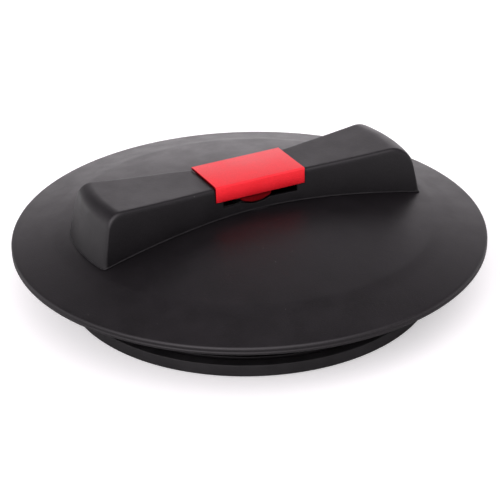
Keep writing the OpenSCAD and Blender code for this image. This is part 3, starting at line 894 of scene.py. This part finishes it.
def handle_cutters():
    """Screw and pin holes, and the opening the lever sits and swings in."""
    cut = [rod("pilot", 1.65, 10, dome(math.hypot(x, y)) + 14, (x, y), seg=24)
           for x, y, _ in HANDLE_SCREWS]
    cut.append(rod("pin_hole", 1.53, -25, 25, HINGE, seg=32, along_x=True))
    cut.append(block("roof", (-16.5, 16.5), (-12.5, 22), (37.6, 50)))
    cut.append(block("seat", (-29.0, 29.0), (-31, 30), (41.02, 54)))
    cut.append(spin("pad", [(0, 12), (16.2, 12), (16.2, 23.36), (0, 23.36)], 96))
    dish_r = TONGUE_R + 0.5
    dish = [(TONGUE_X + dish_r * math.cos(a), TONGUE_Z + TONGUE_R + dish_r * math.sin(a))
            for a in np.linspace(math.radians(222), math.radians(318), 29)]
    cut.append(prism_y("dish", dish, -18.0, -10.0))
    cut.append(block("back", (-16.2, 16.2), (8, 22), (29.8, 52)))
    cut.append(block("front", (-29.0, 29.0), (-30, -11.8), (32.8, 53)))
    cut.append(prism_x("slot", [(-30, 28.7), (-30, 38.7), (-11.5, 38.7), (-11.5, 28.7)],
                       -24.0, 24.0))
    # the cap's path as it turns about the hinge
    swing_r, far = 6.45, 14
    swing = [(HINGE_Y + swing_r * math.cos(a), HINGE_Z + swing_r * math.sin(a))
             for a in np.linspace(0, math.pi / 2, 15)]
    swing += [(HINGE_Y, HINGE_Z + far), (HINGE_Y + far, HINGE_Z + far), (HINGE_Y + far, HINGE_Z)]
    cut.append(prism_x("swing", swing, -29.2, 29.2))
    return cut


def build_handle():
    outer = handle_skin(right_bend=13.0, left_bend=7.75, side_inset=0, end_inset=0, top_inset=0,
                        front_r=1.9, back_r=0.9, end_r=2.3, foot_r=3.4)
    inner = handle_skin(right_bend=11.0, left_bend=6.0, side_inset=2.2, end_inset=2.3,
                        top_inset=2.3, front_r=0.8, back_r=0.8, end_r=0.8, foot_r=1.4)
    n, m, _ = outer.shape
    border = [(0, j) for j in range(m)] + [(i, m - 1) for i in range(1, n)]
    border += [(n - 1, j) for j in range(m - 2, -1, -1)] + [(i, 0) for i in range(n - 2, 0, -1)]
    handle = handle_shell(outer, inner, border)
    add = [joint_lip(np.array([outer[i, j] for i, j in border]))]
    for x, y, _ in HANDLE_SCREWS:
        z0 = dome(math.hypot(x, y)) + 0.15
        z1 = top_z(x) - 1.1
        add.append(spin("boss", [(0, z0), (4.5, z0), (4.3, z1 - 3), (4.5, z1), (0, z1)], 36,
                        (x, y)))
    lug = rounded([(5, 31.2, 2.2, 5), (5, 40), (13.9, 40), (13.9, 30), (6.2, 30, 2.0, 4)])
    for side in (-1, 1):               # lugs that carry the hinge pin
        add.append(prism_x("lug", lug, side * 19 - 2, side * 19 + 2))
    boolean(handle, add, "UNION")
    boolean(handle, handle_cutters(), "DIFFERENCE")
    tidy(handle)
    finish_piece(handle, "body", M_HANDLE, "handle_shell", sharp_angle=33)


# ------------------------------------------------------------------ lever
CAP_HALF_X, CAP_HALF_Y = 28.7, 16.35
CAP_TOP, CAP_UNDER = 42.7, 41.1
LIP_FOOT, LIP_BACK = 32.9, -15.0       # the front lip's lower edge (z) and back face (y)


def lever_cap():
    """Flat cap with a lip down its front."""
    section = [(-CAP_HALF_Y, LIP_FOOT), (LIP_BACK, LIP_FOOT), (LIP_BACK, CAP_UNDER),
               (CAP_HALF_Y, CAP_UNDER), (CAP_HALF_Y, CAP_TOP), (-CAP_HALF_Y, CAP_TOP)]
    cap = prism_x("vent_cap", section, -CAP_HALF_X, CAP_HALF_X)

    def weight(middle, direction):
        """The front top edge is rounded most."""
        if (abs(direction.x) > 0.9 and abs(middle.y + CAP_HALF_Y) < 0.05
                and abs(middle.z - CAP_TOP) < 0.05):
            return 1.0
        return 0.26
    round_edges(cap, width=1.05, segments=5, weight=weight)
    return cap


def lever_tongue():
    """Round-bottomed tongue behind the front lip."""
    outline = []
    for x in np.linspace(-TONGUE_HALF_W, TONGUE_HALF_W, 25):
        outline.append((TONGUE_X + x, TONGUE_Z + TONGUE_R - math.sqrt(TONGUE_R ** 2 - x ** 2)))
    outline += [(TONGUE_X + TONGUE_HALF_W, 41.3), (TONGUE_X - TONGUE_HALF_W, 41.3)]
    tongue = prism_y("tongue", outline, TONGUE_Y, TONGUE_Y + 1.5)
    round_edges(tongue, width=0.35, segments=3)
    return tongue


def lever_web(side):
    """Upright between the barrel and the cap."""
    front, back, top = HINGE_Y - 4.3, HINGE_Y + 4.1, CAP_UNDER + 0.5
    web = prism_x("web", [(front, HINGE_Z), (back, HINGE_Z), (back, top), (front, top)],
                  side * 12.7 - 2.5, side * 12.7 + 2.5)
    round_edges(web, width=0.35, segments=3)
    return web


def lever_cam(side):
    """Cam whose reach from the hinge grows evenly as it turns."""
    start_reach, growth = 3.6, 1.93            # mm, and mm per radian
    outline = [(0, 0), (2.2, 2.2), (0.4, 3.6)]
    for i in range(58):
        a = math.radians(90 + 95 * i / 57)
        reach = start_reach + growth * (a - math.pi / 2)
        outline.append((reach * math.cos(a) - growth * math.sin(a),
                        reach * math.sin(a) + growth * math.cos(a)))
    outline += [(-5.4, -3.1), (-3.4, -3.2), (-1, -3.1)]
    return prism_x("cam", [(HINGE_Y + y, HINGE_Z + z) for y, z in outline],
                   side * 6.75 - 2.75, side * 6.75 + 2.75)


def build_lever():
    lever = lever_cap()
    add = [lever_tongue(), rod("barrel", 3.3, -15.9, 15.9, HINGE, seg=56, along_x=True,
                               chamfer=0.3)]
    for side in (-1, 1):
        add += [lever_web(side), lever_cam(side)]
    boolean(lever, add, "UNION")
    boolean(lever, [rod("bore", 1.55, -20, 20, HINGE, seg=40, along_x=True)], "DIFFERENCE")
    tidy(lever)
    finish_piece(lever, "lever", M_LEVER, "vent_lever", sharp_angle=33)


# ------------------------------------------------------------------ seal and retaining ring
def build_seal():
    outer = 109.4
    outline = rounded([
        (97.8, -31.85, 0.2), (104.8, -31.85, 0.1), (104.8, -32.4, 0.2),
        (outer - 0.9, -32.4, 0.5, 5), (outer, -31.5, 0.7, 6), (outer, -24.9, 0.45, 5),
        (97.8, -24.9, 0.3)])
    seal = revolve("seal_band", outline)
    finish_piece(seal, "body", M_RUBBER, "seal_ring", sharp_angle=50)


def build_retainer():
    foot, top = -33.6, -24.9
    outline = rounded([
        (86, foot, 0.5), (104.6, foot, 0.7, 5), (104.6, -31.9, 0.3), (97.6, -31.9, 0.3),
        (97.6, top, 0.4), (94.6, top, 0.4), (94.6, -31.9, 0.6), (86, -31.9, 0.5)])
    ring = revolve("retainer", outline)
    tube = [(0, foot), (5.1, foot), (5.4, -33.3), (5.4, -25.2), (5.1, top), (0, top)]
    counterbore = [(0, -35), (4.4, -35), (4.4, -33.8), (4.1, -33.3), (4.1, -30.6), (0, -30.6)]
    add, cut = [], []
    for k in range(RING_SCREWS):
        place = ring_place(k)
        add.append(spin("tube", tube, 48, place))
        cut.append(rod("h", 2.2, -35, -20, place, seg=32))
        cut.append(spin("h", counterbore, 40, place))
    boolean(ring, add, "UNION")
    boolean(ring, cut, "DIFFERENCE")
    tidy(ring)
    finish_piece(ring, "body", M_COVER, "retaining_ring", sharp_angle=33)


# ------------------------------------------------------------------ spring
def build_spring():
    turns, wire_r, coil_r = 4.6, 0.6, 11.0
    bottom, top = wire_r + 0.05, 20.6 - wire_r - 0.1
    steps, sides = 420, 14
    flat = 0.17                        # share of the wire in which each end flattens out

    def rise(u):
        if u < flat:
            return 0.5 * u * u / flat
        if u > 1 - flat:
            return (1 - flat) - 0.5 * (1 - u) ** 2 / flat
        return u - 0.5 * flat

    verts = []
    for i in range(steps + 1):
        u = i / steps
        turn = 2 * math.pi * turns * u
        z = bottom + (top - bottom) * rise(u) / rise(1.0)
        thick = wire_r * (1.0 if 0 < i < steps else 0.82)
        for j in range(sides):
            angle = 2 * math.pi * j / sides
            r = coil_r + thick * math.cos(angle)
            verts.append((r * math.cos(turn), r * math.sin(turn), z + thick * math.sin(angle)))
    spring = solid("coil_spring", verts, tube_faces(steps + 1, sides, closed=False))
    finish_piece(spring, "body", M_SPRING, "valve_spring", sharp_angle=60)
    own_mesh(spring)


# ------------------------------------------------------------------ screws
def screw_thread(z, length):
    """Helical ridge that fades out at both ends."""
    pitch, root, crest, turn_steps = 1.3, 1.15, 1.58, 20
    steps = int((length - 2.4) / pitch * turn_steps)
    verts = []
    for i in range(steps + 1):
        turn = 2 * math.pi * i / turn_steps
        height = z + 1.3 + pitch * i / turn_steps
        fade = min(1.0, i / 10.0, (steps - i) / 24.0)
        ridge = root + (crest - root) * max(fade, 0.02)
        for r, dz in ((root, -0.34), (ridge, -0.05), (ridge, 0.05), (root, 0.34)):
            verts.append((r * math.cos(turn), r * math.sin(turn), height + dz))
    return solid("thread", verts, tube_faces(steps + 1, 4, closed=False))


def cross_slot(angle, head_z, head_r, head_h):
    """One tapering slot of the cross recess."""
    c, s = math.cos(angle), math.sin(angle)
    half_w, half_l = 0.42, head_r * 0.55
    ends = []
    for z, share in ((head_z - 0.5, 1.15), (head_z + head_h * 0.72, 0.62)):
        reach = half_l * share
        ends.append([(x * c - y * s, x * s + y * c, z) for x, y in
                     ((-reach, -half_w), (reach, -half_w), (reach, half_w), (-reach, half_w))])
    return prism("cross", *ends)


def tapping_screw(z, length, head_r, head_h):
    """Pan-head self-tapping screw on the Z axis, head down; z is where head meets shank."""
    tip = z + length
    screw = spin("screw", rounded([
        (0, z - head_h), (head_r * 0.55, z - head_h), (head_r, z - head_h * 0.45, head_r * 0.5, 6),
        (head_r, z, 0.2, 3), (1.45, z, 0.2, 2), (1.25, z + 0.8), (1.25, tip - 2.0),
        (0.25, tip), (0, tip)], closed=False), 40)
    boolean(screw, [screw_thread(z, length)], "UNION")
    boolean(screw, [cross_slot(angle, z - head_h, head_r, head_h)
                    for angle in (0.3, 0.3 + math.pi / 2)], "DIFFERENCE")
    tidy(screw)
    return screw


def screw_set(name, screw, places, replaces):
    """One object holding the screw at every (x, y, z, turn); the screw is removed."""
    mesh = screw.data
    flat = np.zeros(len(mesh.vertices) * 3, np.float32)
    mesh.vertices.foreach_get("co", flat)
    base = flat.reshape(-1, 3).astype(float)
    screw_faces = [tuple(polygon.vertices) for polygon in mesh.polygons]
    verts, faces = [], []
    for x, y, z, turn in places:
        c, s = math.cos(turn), math.sin(turn)
        turned = np.stack([base[:, 0] * c - base[:, 1] * s,
                           base[:, 0] * s + base[:, 1] * c, base[:, 2]], -1)
        offset = len(verts)
        verts += (turned + np.array([x, y, z]) * MM).tolist()
        faces += [tuple(i + offset for i in face) for face in screw_faces]
    joined = bpy.data.meshes.new(name)
    joined.from_pydata(verts, [], faces)
    joined.update()
    ob = bpy.data.objects.new(name, joined)
    SC.collection.objects.link(ob)
    bpy.data.objects.remove(screw)
    finish_piece(ob, "body", M_STEEL, replaces, sharp_angle=35)


def build_screws():
    screw_set("ring_screw_set", tapping_screw(z=-30.65, length=18, head_r=3.8, head_h=2.4),
              [(*ring_place(k), 0, 0.7 * k + 0.2 * (k % 3)) for k in range(RING_SCREWS)],
              "ring_screws")
    screw_set("handle_screw_set", tapping_screw(z=10.9, length=15, head_r=3.4, head_h=2.4),
              [(x, y, seat - LOW_SEAT, 0.5 * i) for i, (x, y, seat) in enumerate(HANDLE_SCREWS)],
              "handle_screws")


build_cover()
build_handle()
build_lever()
build_seal()
build_retainer()
build_spring()
build_screws()

# pieces that keep their CAD shape and only take a material
for node, material in (("hinge_pin", M_STEEL), ("pin_clips", M_SPRING),
                       ("lifter_plate", M_ACETAL), ("lifter_screw", M_STEEL),
                       ("valve_stem", M_ACETAL), ("valve_washer", M_RUBBER),
                       ("stem_bush", M_ACETAL), ("spring_cup", M_ACETAL),
                       ("stem_clip", M_SPRING), ("handle_washers", M_STEEL)):
    set_material(frame["nodes"][node], material)

# ------------------------------------------------------------------ stage, lights, camera
for old in list(SC.objects):
    if old.type in ("LIGHT", "CAMERA"):
        bpy.data.objects.remove(old)


def floor_material():
    """Bright to the camera, less bright to the part."""
    n = Nodes(bpy.data.materials.new("pale_floor"))
    pale = n.mix(n.span(n.noise(scale=3.0, detail=2, rough=0.5), start=0.3, end=0.7),
                 rgba(0.90, 0.90, 0.90), rgba(0.92, 0.92, 0.92))
    seen = n.new("ShaderNodeLightPath").outputs["Is Camera Ray"]
    out = n.new("ShaderNodeVectorMath", {0: n.coord}, operation="LENGTH").outputs["Value"]
    # to the part, the floor glows only further out
    glow = n.span(out, start=0.20, end=0.45, high=0.75)
    shader = n.new("ShaderNodeBsdfPrincipled", {
        "Base Color": n.mix(seen, rgba(0.50, 0.50, 0.50), pale),
        "Roughness": 0.9, "Specular IOR Level": 0.1, "Emission Color": (1, 1, 1, 1),
        "Emission Strength": n.add(n.mul(seen, 0.38), n.mul(n.sub(1.0, seen), glow))})
    # the patch the part stands on lets light through to the hollow underside
    under = n.mul(n.math("LESS_THAN", out, 0.105), n.sub(1.0, seen))
    backfacing = n.new("ShaderNodeNewGeometry").outputs["Backfacing"]
    blend = n.new("ShaderNodeMixShader", {
        0: n.math("MAXIMUM", backfacing, under), 1: shader.outputs[0],
        2: n.new("ShaderNodeBsdfTransparent").outputs[0]})
    n.put(n.out.inputs["Surface"], blend.outputs[0])
    return n.owner


def build_floor():
    half, z = 6, -0.0001
    mesh = bpy.data.meshes.new("floor")
    mesh.from_pydata([(-half, -half, z), (half, -half, z), (half, half, z), (-half, half, z)],
                     [], [(0, 1, 2, 3)])
    mesh.materials.append(floor_material())
    ob = bpy.data.objects.new("floor", mesh)
    SC.collection.objects.link(ob)


# the camera's own axes
CAM_RIGHT = Vector((0.8903031449381696, -0.4550394823192074, -0.017302590669381394))
CAM_UP = Vector((0.22520563590133477, 0.4069629418368277, 0.8852477537558568))
CAM_FORWARD = Vector((0.3957811663930964, 0.7920355001527284, -0.46479784296652843))


def build_camera():
    data = bpy.data.cameras.new("camera")
    data.sensor_width = 36.0
    data.lens = 118.634
    data.clip_start, data.clip_end = 0.05, 50
    camera = bpy.data.objects.new("camera", data)
    SC.collection.objects.link(camera)
    matrix = Matrix.Identity(4)
    for i in range(3):
        matrix[i][0], matrix[i][1], matrix[i][2] = CAM_RIGHT[i], CAM_UP[i], -CAM_FORWARD[i]
    matrix.translation = Vector((-388.808, -778.655, 445.248 + RIM_PLANE)) * MM
    camera.matrix_world = matrix
    SC.camera = camera


# Soft light panels: azimuth, elevation (degrees), sharpness, strength.
# Azimuth 0 is behind the part, 90 to the camera's right, 180 behind the camera.
PANELS = ((0, 4, 14.0, 1.72), (0, 22, 12.0, 0.30), (40, 8, 10.0, 0.42), (-80, 8, 10.0, 0.74),
          (-120, 8, 10.0, 0.80), (75, 10, 10.0, 0.22), (180, 32, 8.0, 1.25),
          (-150, 32, 9.0, 2.75), (150, 58, 9.0, 2.20), (0, -90, 2.0, 2.00))


def build_world():
    """A dark studio with large soft light panels; the camera itself sees a white backdrop."""
    away = Vector((CAM_FORWARD.x, CAM_FORWARD.y, 0)).normalized()
    right = Vector((away.y, -away.x, 0))
    world = bpy.data.worlds.new("studio")
    SC.world = world
    n = Nodes(world, "ShaderNodeOutputWorld", coord="Generated")
    total = 0.01                       # faint light from everywhere
    for azimuth, elevation, sharpness, strength in PANELS:
        around, up = math.radians(azimuth), math.radians(elevation)
        level = away * math.cos(around) + right * math.sin(around)
        direction = level * math.cos(up) + Vector((0, 0, math.sin(up)))
        dot = n.new("ShaderNodeVectorMath", {0: n.coord, 1: direction}, operation="DOT_PRODUCT")
        lobe = n.math("EXPONENT", n.math("MULTIPLY_ADD", dot.outputs["Value"], sharpness,
                                         -sharpness))
        total = n.math("MULTIPLY_ADD", lobe, strength, total)
    panels = n.new("ShaderNodeBackground", {0: (1.0, 0.940, 0.985, 1), 1: total})
    white = n.new("ShaderNodeBackground", {0: (1, 1, 1, 1)})
    blend = n.new("ShaderNodeMixShader", {
        0: n.new("ShaderNodeLightPath").outputs["Is Camera Ray"],
        1: panels.outputs[0], 2: white.outputs[0]})
    n.put(n.out.inputs[0], blend.outputs[0])


build_floor()
build_camera()
build_world()

SC.view_settings.view_transform = "Standard"
SC.view_settings.look = "None"
SC.view_settings.exposure = 0.0
SC.view_settings.gamma = 1.0
SC.cycles.max_bounces = 8
SC.cycles.diffuse_bounces = 4
SC.cycles.glossy_bounces = 4
SC.cycles.use_denoising = True
